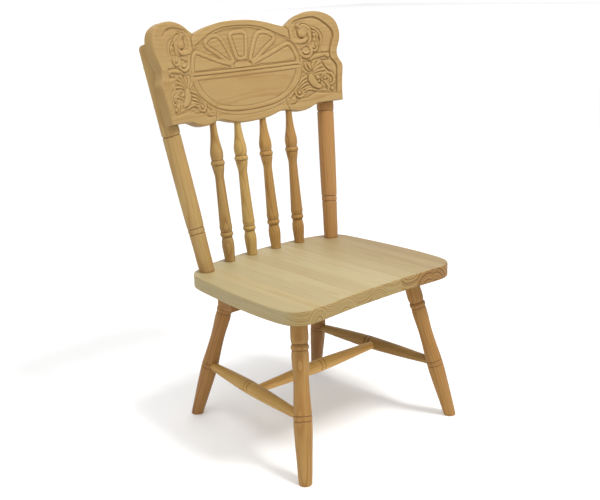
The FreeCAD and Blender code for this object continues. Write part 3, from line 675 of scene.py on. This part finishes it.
# the frame's outer line is also marked dark: partly painted shade, partly dirt
CUT_LINE_SHADE_DIRT[:] = np.maximum(CUT_LINE_SHADE_DIRT, 0.62 * rim_line)
ray = clip_sun & (allD > 2 * BORD - 0.4) & (GY > 353)
rsd = np.random.RandomState(11)
stip = np.zeros(GX.shape)
for k in range(900):
    x, y = rsd.uniform(-120, 120), rsd.uniform(354, 426)
    i, j = int((x - gs[0]) / STEP), int((y - gS[0]) / STEP)
    if not (0 <= i < NXg and 0 <= j < NYg) or not ray[j, i]:
        continue
    i0, i1, j0, j1 = max(0, i - 5), i + 6, max(0, j - 5), j + 6
    dd = np.hypot(GX[j0:j1, i0:i1] - x, GY[j0:j1, i0:i1] - y)
    stip[j0:j1, i0:i1] = np.maximum(stip[j0:j1, i0:i1], np.clip(1 - dd / 1.3, 0, 1))
GROOVE[:] = np.maximum(GROOVE, 0.55 * stip * ray)
# the punched dots are also marked dark: partly painted shade, partly dirt
CUT_LINE_SHADE_DIRT[:] = np.maximum(CUT_LINE_SHADE_DIRT, 0.45 * stip * ray)

# half sun
for rx, ry in ((22.0, 13.4),):
    rr = np.hypot(GX / rx, (GY - 351.2) / ry)
    m = (rr < 1) & (GY > 351.0)
    z = -1.9 + 2.0 * np.sqrt(np.clip(1 - rr ** 2, 0, 1))
    H[m] = np.maximum(-1.2, z[m])
    Dd = np.abs(rr - 1.03) * 14.0
    up = GY > 351.5
    GROOVE[:] = np.maximum(GROOVE, 1.1 * np.clip(1 - Dd / 1.5, 0, 1) * up)
    # the ring cut round the half sun is also marked dark: partly painted shade, partly dirt
    CUT_LINE_SHADE_DIRT[:] = np.maximum(CUT_LINE_SHADE_DIRT, 0.4 * np.clip(1 - Dd / 1.5, 0, 1) * up)

# two half-round bars between three straight lines
for y0, y1 in ((344.8, 351.4), (336.8, 344.8)):
    yc, hw = 0.5 * (y0 + y1), 0.5 * (y1 - y0)
    m = (np.abs(GY - yc) < hw) & (np.abs(GX) < 124.0)
    z = 0.0 - 1.15 * (1 - np.sqrt(np.clip(1 - ((GY - yc) / hw) ** 2, 0, 1)))
    H[m] = z[m]
groove([(0, 351.5), (60, 351.5), (118, 351.9)], 1.35, 1.15, 0.95, fade=0.02)
groove([(0, 344.8), (60, 344.8), (124.5, 345.0)], 1.35, 1.35, 1.0, fade=0.02)
groove([(0, 336.8), (60, 336.8), (116, 337.0)], 1.35, 1.25, 1.0, fade=0.02)
# lower panel with its frame
low = spline([(114.8, 335.5), (105, 318), (90, 303), (75, 293.7), (50, 286.8), (25, 283.4), (0, 282.4)], 2.0)
panel = np.vstack([[(114.8, 336.4)], low, (low[:-1] * (-1, 1))[::-1], [(-114.8, 336.4)]])
field(panel, -0.8, 1.0, two=False)
groove([(115.2, 336.5), (105, 318), (90, 303), (75, 293.5), (50, 286.5), (25, 283), (0, 282)], 1.35, 1.25, 1.0, fade=0.0)
groove(BOWL, 1.6, 1.7, 1.0, fade=0.02)
rib([(120.5, 333), (115, 321), (104, 307), (91, 296), (75, 287.5), (50, 281.5), (25, 278.4), (0, 277.6)], 4.0, 0.25, 1.2, ends=0.0)
groove([(88, 284), (75, 277), (50, 270), (25, 267), (0, 265.4)], 1.3, 1.0, 0.6, fade=0.1)
groove([(92, 279), (84, 275.5), (70, 272), (55, 267.5)], 1.0, 0.5, 0.35, fade=0.2)
# oval side rims
rib([(122.0, 352), (120.4, 366), (114.5, 380), (108, 387.5)], 3.6, 0.2, 1.2)
groove(SIDE, 1.5, 1.5, 0.9)
groove([(126, 346), (127.5, 337), (126.5, 329)], 1.4, 1.2, 0.8)
# the arch and the scroll borders
groove(ARCH, 1.7, 2.0, 1.0, fade=0.0)
groove([(104, 398.5), (109, 395.5), (114, 391)], 1.8, 1.6, 0.9)
groove(INNER, 1.55, 1.7, 1.0, fade=0.04, two=False)
groove([(-123, 424.4), (-135, 428), (-150, 430.5), (-162, 430.2), (-174, 424.6)], 1.4, 0.9, 0.6, fade=0.2, two=False)
groove([(-190.5, 353), (-193.5, 345), (-195, 334), (-194, 318), (-192, 300), (-189.4, 284)], 1.4, 0.55, 0.25, fade=0.3, two=False)
groove(SILL, 1.5, 1.5, 1.0, fade=0.06, left=0.85)
groove([(194.3, 296), (193, 288), (191.5, 282.5)], 1.5, 1.5, 1.0, fade=0.0, two=False)
groove([(105, 418.6), (110.5, 413.5), (113, 408), (112.6, 399), (113, 391.5)], 1.8, 1.7, 0.9)

# --- foliage --------------------------------------------------------------
# volute band and its eye
leaf([(131, 424), (122.5, 418), (117.2, 408), (116.6, 398.5), (119.5, 390), (127, 386.2), (138, 386.6), (147, 389.5), (151, 394)], 5.6, -0.2, 1.5, peak=0.62, tip=0.35)
knob(141.5, 402.6, 9.5, 8.2, 0.1, 1.9, ang=25)
rib([(132, 419), (138, 413.5), (146, 411), (150.5, 404)], 2.6, -0.6, 1.2)
groove([(143, 394.3), (137, 393.4), (132.8, 395.4), (131, 400), (131.2, 406), (130, 411), (128, 415.5)], 1.9, 2.1, 1.0)
pit(131.5, 412.5, 3.4, 5.0, 1.0, ang=-20)
groove([(121, 384), (130, 382.6), (143, 382.4), (151, 384)], 1.5, 1.6, 0.9)
groove([(122, 423), (129, 421.5), (139, 423.5), (152, 424)], 1.3, 0.9, 0.6)
# leaves that wrap the eye
leaf([(136, 414), (143, 417.2), (150, 415.2), (156, 410), (158.4, 401), (157, 392)], 3.7, 0.0, 1.6, peak=0.35)
groove([(137, 417.8), (144, 420.3), (151, 418.3), (156.5, 413.5), (161, 409.5)], 1.2, 1.3, 0.85)
leaf([(150.5, 409), (154.2, 401), (155.2, 392), (152, 384.5), (146, 381)], 3.4, -0.1, 1.5, peak=0.5)
groove([(151, 397), (152.5, 392), (150.5, 387), (146.5, 384.3)], 1.15, 1.3, 0.9)
groove([(159.6, 407), (160.6, 398), (160.2, 388), (157, 381.5)], 1.2, 1.4, 0.95)
leaf([(160, 405.5), (166, 402.8), (170.5, 397.5), (171, 390), (168.5, 384)], 3.0, -0.1, 1.6, peak=0.4)
knob(164.6, 396.0, 3.2, 3.6, 0.0, 1.6)
knob(164.2, 387.2, 2.7, 3.2, -0.2, 1.5)
pit(168.6, 401.4, 1.7, 1.5, 1.2)
pit(170.8, 389.6, 1.5, 2.2, 1.4)
pit(161.0, 400.4, 1.3, 1.6, 1.2)
leaf([(160, 411.5), (168, 408.0), (174.5, 401.0), (177.6, 391), (176.6, 381), (173.5, 374)], 3.1, 0.0, 1.5, peak=0.4)
groove([(161, 408.4), (167.5, 405.2), (172.5, 399.5), (174.4, 391), (173.6, 383)], 1.1, 1.2, 0.9)
groove([(158, 414.6), (169, 411.4), (177, 404), (181, 392.5), (180, 381), (177, 372)], 1.2, 1.0, 0.6)
# small curl
rib([(166.6, 379), (166.8, 372.5), (163.6, 367.6), (158.6, 367.4), (155.6, 371.6), (157.4, 376.6)], 2.3, -0.1, 1.4)
knob(161.3, 373.2, 2.4, 2.6, -0.3, 1.2)
groove([(163.8, 381), (164.2, 375.4), (163, 371.3), (159.8, 370.3), (158.3, 373.4)], 0.9, 1.2, 1.0)
groove([(169.6, 380), (170.2, 372), (167, 365.6), (160, 363.8), (154.6, 366)], 1.2, 1.3, 0.8)
# larger curl
rib([(129.2, 377.5), (128.8, 369), (132.4, 361.6), (139.5, 357.4), (147.5, 357.6), (153, 362.4), (153.8, 370.2), (150.4, 376.4)], 3.0, 0.1, 1.6)
pit(134.4, 371.6, 3.0, 2.7, 1.5)
groove([(136.4, 372.6), (142, 375.6), (150, 375.4)], 1.7, 1.7, 1.0)
leaf([(136.4, 367.6), (140.6, 364.6), (146, 364.6), (150, 368.4)], 2.6, -0.3, 1.4, peak=0.5)
groove([(134.5, 366.8), (138.2, 362.4), (144.6, 361.3), (149.8, 364)], 1.0, 1.2, 0.95)
groove([(125.4, 376), (126.2, 366), (131, 357.6), (139.6, 353.2), (148, 353.6), (155, 358.5), (162, 361.7), (173, 361.6), (182, 362.2)], 1.3, 1.4, 0.8, fade=0.12)
# pointed leaf that runs out to the waist
leaf([(146, 350.5), (157, 355.6), (168, 357.5), (177, 358.2), (184, 357.4)], 4.2, 0.05, 1.5, peak=0.6, tip=0.3)
knob(185.4, 355.8, 4.4, 4.4, 0.5, 2.0)
groove([(180.4, 355.2), (182.2, 352.2), (185.6, 351.2)], 0.8, 0.7, 0.6)
groove([(183.6, 350.4), (188.6, 351.2), (190.4, 355), (189.4, 360), (185.4, 361.6)], 0.9, 0.9, 0.6)
groove([(190, 348.6), (183, 347.6), (176, 347.2), (168.5, 349.5)], 1.9, 1.6, 0.9, fade=0.25)
groove([(181, 352.4), (170, 352.6), (158, 350.4)], 1.1, 1.0, 0.7)
# broad smooth leaf beside the outer border
leaf([(172.5, 344), (182, 342.5), (190, 336), (195.2, 326), (193.8, 313)], 6.6, -0.25, 1.1, peak=0.42, tip=0.15)
groove([(171.4, 347), (173.6, 340), (178.6, 331.6), (186.4, 322.4)], 1.2, 1.4, 0.9)
# fan of narrow leaves
leaf([(150.5, 329.6), (158, 338.8), (168.6, 345.4)], 3.2, -0.1, 1.5, peak=0.55)
leaf([(150.4, 327), (160, 333.8), (171.4, 337.6)], 2.9, -0.1, 1.5, peak=0.55)
leaf([(150.6, 324.4), (162, 328.8), (176, 329.6)], 2.9, -0.1, 1.5, peak=0.55)
leaf([(152, 321.2), (164, 323.6), (178, 322)], 2.5, -0.3, 1.4, peak=0.55)
leaf([(149.2, 331), (152.4, 340), (159.6, 348.2)], 2.8, -0.2, 1.5, peak=0.5)
groove([(152, 331.6), (160.5, 338.4), (169.6, 341.6)], 0.9, 1.1, 0.9)
groove([(152, 327.4), (162, 331.6), (173.5, 333.2)], 0.9, 1.1, 0.9)
groove([(152, 323.8), (163, 326.3), (177, 325.6)], 0.9, 1.0, 0.8)
groove([(150.4, 333), (155.5, 341), (163.4, 346.4)], 1.0, 1.2, 0.95)
pit(149.5, 345.5, 2.2, 3.4, 1.5, ang=20)
leaf([(147.6, 330), (144.4, 338), (146.6, 347.4)], 2.7, -0.2, 1.5, peak=0.5)
leaf([(145, 328.6), (137.8, 335.4), (135.4, 345.4)], 2.9, -0.1, 1.5, peak=0.5)
leaf([(143.6, 326), (134.6, 329.2), (130.2, 337)], 2.6, -0.3, 1.4, peak=0.5)
groove([(146.2, 331.2), (141.2, 337.4), (140.4, 346.4)], 1.2, 1.5, 1.0)
groove([(144, 328), (136.6, 332.4), (132.6, 341.6)], 1.0, 1.1, 0.8)
groove([(129.4, 341.6), (133.6, 348), (141, 348.8), (150.5, 349.2)], 1.3, 1.3, 0.9)
pit(149.0, 331.8, 2.0, 2.4, 1.0)
# smooth comma
leaf([(143.4, 325), (144.6, 315.6), (148.4, 306.4), (155.4, 299.6), (164.5, 296.4)], 8.0, 0.15, 1.7, peak=0.34, tip=0.12)
groove([(138.4, 323), (136.8, 314.5), (139.4, 305.6), (146, 298.2), (154.4, 293.6), (166, 292.2)], 1.35, 1.6, 1.0)
groove([(152.6, 321.6), (154.0, 312.6), (158.2, 305.2), (164.2, 301.4)], 1.1, 1.2, 0.85)
leaf([(157.5, 322), (156.6, 316.4), (158.4, 312)], 2.0, -0.4, 1.3, peak=0.5)
leaf([(175.4, 318.8), (178.6, 313.6), (178.4, 307.4), (174.6, 303.6)], 2.2, -0.3, 1.3, peak=0.5)
leaf([(168.4, 321.4), (173.4, 319.2), (176.6, 315.6)], 1.9, -0.4, 1.3, peak=0.5)
leaf([(161.8, 301.6), (167.4, 299.4), (171.4, 294.6)], 2.2, -0.3, 1.3, peak=0.4)
leaf([(156.4, 292.6), (163.4, 291.4), (170.4, 288.6)], 1.7, -0.4, 1.2, peak=0.5)
leaf([(184.6, 327.4), (180.4, 333.6), (175.4, 341.2)], 1.9, -0.3, 1.3, peak=0.5)
leaf([(189.2, 324.6), (186.4, 329.4), (182.4, 334.4)], 1.8, -0.35, 1.3, peak=0.5)
# flower
knob(166.0, 310.6, 2.9, 2.9, 0.1, 1.6, ring=1.2)
for ka in range(6):
    an = math.radians(20 + 60 * ka)
    knob(166.0 + 7.0 * math.cos(an), 310.6 + 6.6 * math.sin(an), 3.5, 2.8, -0.15, 1.6, ang=20 + 60 * ka)
    an2 = an + math.radians(30)
    pit(166.0 + 6.9 * math.cos(an2), 310.6 + 6.5 * math.sin(an2), 1.35, 1.25, 1.3, ang=50 + 60 * ka)
pit(166.4, 317.6, 3.4, 1.5, 1.4, ang=10)
pit(177.2, 310.4, 1.7, 1.9, 1.5)
pit(157.2, 309.6, 1.3, 2.6, 1.4)
pit(163.6, 297.4, 3.0, 1.4, 1.2)
# right-hand lobe and bead
leaf([(179.6, 322.4), (187, 319.4), (191.4, 311), (189.6, 302.6), (182.8, 299.4)], 3.6, -0.1, 1.5, peak=0.5, tip=0.3)
leaf([(181.2, 316), (184.4, 310.4), (182.4, 304.4)], 2.8, -0.3, 1.4, peak=0.5, tip=0.3)
groove([(183.4, 317.8), (187.4, 312), (186.2, 305.4), (181.4, 302.6)], 0.95, 1.2, 0.9)
groove([(191.4, 321), (195.2, 311), (192.8, 302.4), (187.4, 298.4)], 1.15, 1.3, 0.95)
knob(184.8, 291.4, 4.8, 4.8, 0.1, 1.8, ring=1.3)
leaf([(171.6, 304.6), (175.6, 298.8), (177.4, 291), (174.4, 288)], 2.4, -0.2, 1.4, peak=0.4, tip=0.3)
groove([(171, 300), (173.6, 294), (173, 289.6)], 1.0, 1.1, 0.85)
# lower curl with its striped leaf
rib([(106.8, 297.4), (106.2, 290.4), (110.4, 284.6), (117.4, 283.6), (122.2, 287.2), (121.6, 293)], 2.5, 0.0, 1.5)
knob(114.2, 291.8, 3.9, 4.4, 0.1, 1.6, ring=1.2)
groove([(103.4, 299), (102.6, 290), (107.4, 282), (115, 279.8)], 1.2, 1.1, 0.8)
leaf([(110.8, 302.8), (119, 311.4), (128, 317.4), (137, 319.6)], 2.7, -0.1, 1.5, peak=0.55)
leaf([(113.6, 300.6), (121.6, 307), (130, 311.6), (137, 313)], 2.5, -0.2, 1.5, peak=0.55)
leaf([(117.4, 299), (125, 303.4), (132.4, 306.2), (138.6, 306.4)], 2.5, -0.2, 1.5, peak=0.55)
leaf([(121, 296.4), (129, 299), (138, 300), (144.4, 297.6)], 2.6, -0.1, 1.5, peak=0.55)
leaf([(124.2, 291), (131, 294.6), (139, 295.4), (150, 291.4)], 2.3, -0.2, 1.4, peak=0.5)
groove([(113.6, 304), (122, 311), (131, 315.6), (138, 316.6)], 0.95, 1.2, 0.9)
groove([(116.6, 301.4), (124.6, 306.6), (132, 309.4), (138.6, 309.8)], 0.95, 1.2, 0.9)
groove([(120.6, 298.4), (128.6, 301.8), (137, 303.2)], 0.95, 1.2, 0.9)
groove([(125, 288.4), (131, 291.8), (139.6, 292.6), (150, 289.4), (158, 290.4)], 1.1, 1.3, 0.95)
leaf([(121.6, 314.4), (124.6, 321.4), (131.4, 326)], 2.4, -0.3, 1.4, peak=0.5)
groove([(119.6, 317.6), (123.6, 325.4), (131, 329.6)], 1.0, 1.0, 0.7)
# bract whose tip rolls over the lower edge
groove([(101, 287.5), (97.5, 283.2), (91.5, 283.4), (86.4, 285.6)], 1.1, 1.1, 0.7)
groove([(83.4, 286.4), (82.8, 278.5), (84.2, 270.4), (88.0, 261.0)], 1.9, 1.5, 0.6, fade=0.12)
leaf([(103, 286), (97, 277.6), (91.4, 272), (88.4, 262)], 6.2, 0.25, 1.1, peak=0.5, tip=0.3)
# sprig under the lower curl
groove([(88, 276.6), (94.4, 278.8), (101, 276.8)], 1.2, 1.0, 0.8)
groove([(99.6, 274), (107, 273.8), (114, 276.6)], 1.1, 0.8, 0.6)

H *= 1.2
H -= GROOVE * 1.2
# light hand-tool unevenness
rsn = np.random.RandomState(3)
un = blur(rsn.normal(size=GX.shape), 2.2)
un /= un.std()
field_m = sstep(-H, 0.2, 1.2)
H += un * 0.07 * field_m
un2 = blur(rsn.normal(size=GX.shape), 7.0)
un2 /= un2.std()
H += un2 * 0.05
H = blur(H, 0.42)
# painted shade in the hollows, by how far each point lies below its surroundings, added to the dark cut marks (partly
# dirt)
deepness = blur(H, 3.2) - H
CUT_SHADE_AND_DIRT = np.clip(0.62 * CUT_LINE_SHADE_DIRT + 0.55 * np.clip(deepness - 0.12, 0, 1.4), 0, 1)
CUT_SHADE_AND_DIRT = blur(CUT_SHADE_AND_DIRT, 0.4)
# lighter on the raised ridges: painted highlight
RIDGE_HIGHLIGHT = np.clip((-deepness) * 1.1, 0, 1)
EDGE_R = 1.8
edge = np.where(D_sign < EDGE_R, EDGE_R - np.sqrt(np.clip(EDGE_R ** 2 - (EDGE_R - np.clip(D_sign, 0, EDGE_R)) ** 2, 0, None)), 0.0)
H = np.minimum(H, 0.15) - edge

# keep the cells whose middle is inside the outline, then move the border points onto the outline
mid_s = 0.5 * (gs[1:] + gs[:-1])
Dc = 0.25 * (D_sign[1:, 1:] + D_sign[:-1, 1:] + D_sign[1:, :-1] + D_sign[:-1, :-1])
keep = Dc > 0.0
idx = np.full(GX.shape, -1, int)
used = np.zeros(GX.shape, bool)
used[:-1, :-1] |= keep
used[1:, :-1] |= keep
used[:-1, 1:] |= keep
used[1:, 1:] |= keep
full = np.zeros(GX.shape, bool)
full[1:-1, 1:-1] = keep[:-1, :-1] & keep[1:, :-1] & keep[:-1, 1:] & keep[1:, 1:]
border = used & ~full
idx[used] = np.arange(used.sum())
PX, PY, PH = GX[used].copy(), GY[used].copy(), H[used].copy()
bi = idx[border]
a, b = OUT, np.roll(OUT, -1, 0)
ab = b - a
NRM = {}
for q in bi:
    p = np.array([PX[q], PY[q]])
    t = np.clip(((p - a) * ab).sum(1) / (ab ** 2).sum(1), 0, 1)
    c = a + ab * t[:, None]
    k = int(np.argmin(((p - c) ** 2).sum(1)))
    PX[q], PY[q] = c[k]
    PH[q] = -EDGE_R
jj, ii = np.where(keep)
quads = np.stack([idx[jj, ii], idx[jj, ii + 1], idx[jj + 1, ii + 1], idx[jj + 1, ii]], 1)
# border loop from the quads' unshared edges
from collections import defaultdict
edge_n = defaultdict(int)
E = np.vstack([quads[:, [0, 1]], quads[:, [1, 2]], quads[:, [2, 3]], quads[:, [3, 0]]])
key = np.sort(E, 1)
_, inv, cnt = np.unique(key[:, 0] * 10000000 + key[:, 1], return_inverse=True, return_counts=True)
free = E[cnt[inv] == 1]
nxt = {int(p): int(q) for p, q in free}
start = int(free[0, 0])
loop = [start]
while nxt[loop[-1]] != start:
    loop.append(nxt[loop[-1]])
print("crest border", len(loop), "of", len(free), "quads", len(quads))
LP = np.stack([PX[loop], PY[loop]], 1)
tan = np.roll(LP, -1, 0) - np.roll(LP, 1, 0)
tan /= np.maximum(np.hypot(*tan.T), 1e-9)[:, None]
nin = np.stack([-tan[:, 1], tan[:, 0]], 1)      # the loop runs anticlockwise, so this points inward
nin = sum(np.roll(nin, k, 0) for k in range(-4, 5)) / 9.0
verts = [np.column_stack([PX, PY, -PH])]
n0 = len(PX)
rings = []
for t, inset in ((6.0, 0.0), (12.0, 0.0), (CREST_T - 1.6, 0.0), (CREST_T - 0.5, 0.4), (CREST_T, 1.4)):
    q = LP + nin * inset
    verts.append(np.column_stack([q, np.full(len(q), t)]))
    rings.append(list(range(n0, n0 + len(q))))
    n0 += len(q)
faces = [tuple(int(v) for v in q) for q in quads]
prev = loop
nl = len(loop)
for rg in rings:
    for i in range(nl):
        j = (i + 1) % nl
        faces.append((int(prev[j]), int(prev[i]), int(rg[i]), int(rg[j])))
    prev = rg
# rear face: the last ring with a coarse net inside it
ring_xy = LP + nin * 1.4
cs, cS = np.meshgrid(np.arange(-210, 211, 7.0), np.arange(256, 442, 7.0))
ci = np.array([[x, y] for x, y in zip(cs.ravel(), cS.ravel())])
gi = np.clip(((ci[:, 0] - gs[0]) / STEP).round().astype(int), 0, NXg - 1)
gj = np.clip(((ci[:, 1] - gS[0]) / STEP).round().astype(int), 0, NYg - 1)
ci = ci[D_sign[gj, gi] > 5.0]
pts2 = [Vector((float(x), float(y))) for x, y in np.vstack([ring_xy, ci])]
ov, oe, of_, ovo, _, _ = geometry.delaunay_2d_cdt(pts2, [(i, (i + 1) % nl) for i in range(nl)], [], 1, 1e-6)
assert len(ov) == len(pts2), (len(ov), len(pts2))
remap = {}
extra = []
for i, src in enumerate(ovo):
    s = src[0]
    remap[i] = rings[-1][s] if s < nl else n0 + (s - nl)
verts.append(np.column_stack([ci, np.full(len(ci), CREST_T)]))
for tri in of_:
    faces.append(tuple(remap[v] for v in reversed(tri)))
V = np.vstack(verts)
me = bpy.data.meshes.new("crest_carved")
me.from_pydata(crest_xyz(V[:, 0], V[:, 1], V[:, 2]).tolist(), [], faces)
me.update()
crest = bpy.data.objects.new("crest_carved", me)
bpy.context.scene.collection.objects.link(crest)
wood = me.attributes.new("wood", "FLOAT_VECTOR", "POINT")
# the board's grain runs across the chair: z of the wood frame is s
wv = np.column_stack([V[:, 1] - 345.0, V[:, 2], V[:, 0]]).astype(np.float32)
wood.data.foreach_set("vector", wv.ravel())
# per-vertex painted shade and dirt of the cuts
cav = np.zeros(len(V), np.float32)
cav[:len(PX)] = CUT_SHADE_AND_DIRT[used]
me.attributes.new("cavity_shade_and_dirt", "FLOAT", "POINT").data.foreach_set("value", cav)
rid = np.zeros(len(V), np.float32)
rid[:len(PX)] = RIDGE_HIGHLIGHT[used]
me.attributes.new("ridge_highlight", "FLOAT", "POINT").data.foreach_set("value", rid)
me.shade_smooth()
me.set_sharp_from_angle(angle=math.radians(50))
# band_col here is also the colour of the painted shade and dirt in the cuts
me.materials.append(pine("pine_crest", attr="wood", seed=71, pith=(-26, 90), gap=4.6, early=(206, 176, 122), late=(180, 138, 80),
                         deep=(140, 96, 50), tone=(0.53, 0.50, 0.43), contrast=0.5, stain=0.25, stain_col=(186, 142, 86), band_col=(138, 98, 50), warp=10.0, carve=True, fleck=0.3))
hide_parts("crest_rail")
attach(crest, "root")

# ---------------------------------------------------------------------------
# Stage, light and camera
# ---------------------------------------------------------------------------
bpy.ops.mesh.primitive_plane_add(size=34.0, location=(0, 0, 0))
floor = bpy.context.object
floor.name = "floor"
T = Tree("studio_floor")
T.bsdf.inputs["Base Color"].default_value = (0.92, 0.92, 0.92, 1)
T.bsdf.inputs["Roughness"].default_value = 0.9
floor.data.materials.append(T.mat)

world = bpy.data.worlds.new("studio")
bpy.context.scene.world = world
world.use_nodes = True
wt = world.node_tree
w_co = wt.nodes.new("ShaderNodeTexCoord")
w_sep = wt.nodes.new("ShaderNodeSeparateXYZ")
w_ramp = wt.nodes.new("ShaderNodeValToRGB")
w_ramp.color_ramp.elements[0].position = 0.02
w_ramp.color_ramp.elements[0].color = (1.0, 1.0, 1.0, 1)
w_ramp.color_ramp.elements[1].position = 0.35
w_ramp.color_ramp.elements[1].color = (0.66, 0.66, 0.66, 1)
wt.links.new(w_co.outputs["Generated"], w_sep.inputs[0])
wt.links.new(w_sep.outputs[2], w_ramp.inputs[0])
wt.links.new(w_ramp.outputs[0], wt.nodes["Background"].inputs[0])
wt.nodes["Background"].inputs[1].default_value = 1.0


def area(name, loc, target, size, power, color=(1, 1, 1)):
    d = bpy.data.lights.new(name, "AREA")
    d.shape = "RECTANGLE"
    d.size, d.size_y = size
    d.energy = power
    d.color = color
    o = bpy.data.objects.new(name, d)
    o.location = loc
    o.rotation_euler = (Vector(target) - Vector(loc)).to_track_quat("-Z", "Y").to_euler()
    bpy.context.scene.collection.objects.link(o)
    return o


area("key", (0.45, -1.35, 2.7), (0, 0, 0.35), (0.7, 0.7), 62)
area("fill", (-2.4, -0.8, 1.4), (0, 0, 0.35), (1.4, 1.4), 5)
area("top", (-0.9, -0.3, 2.6), (0, 0, 0.3), (1.4, 1.4), 16)
area("backdrop", (8.5, 10.0, 6.0), (8.5, 10.0, 0), (16.0, 16.0), 800)

cam_d = bpy.data.cameras.new("camera")
cam = bpy.data.objects.new("camera", cam_d)
bpy.context.scene.collection.objects.link(cam)
yaw, pitch, roll = (math.radians(q) for q in (40.22, -16.36, -2.27))
fwd = Vector((math.sin(yaw) * math.cos(pitch), math.cos(yaw) * math.cos(pitch), math.sin(pitch)))
rgt = Vector((math.cos(yaw), -math.sin(yaw), 0))
upv = rgt.cross(fwd)
r2 = rgt * math.cos(roll) + upv * math.sin(roll)
u2 = -rgt * math.sin(roll) + upv * math.cos(roll)
M = Matrix((r2, u2, -fwd)).transposed().to_4x4()
M.translation = Vector((-1067.52, -1225.29 + SHIFT_Y, 807.98)) * MM
cam.matrix_world = M
cam_d.sensor_fit = "HORIZONTAL"
cam_d.sensor_width = 36.0
cam_d.lens = 939.16 / 600.0 * 36.0
cam_d.clip_start = 0.05
bpy.context.scene.camera = cam
bpy.context.scene.view_settings.view_transform = "Standard"
bpy.context.scene.view_settings.look = "None"
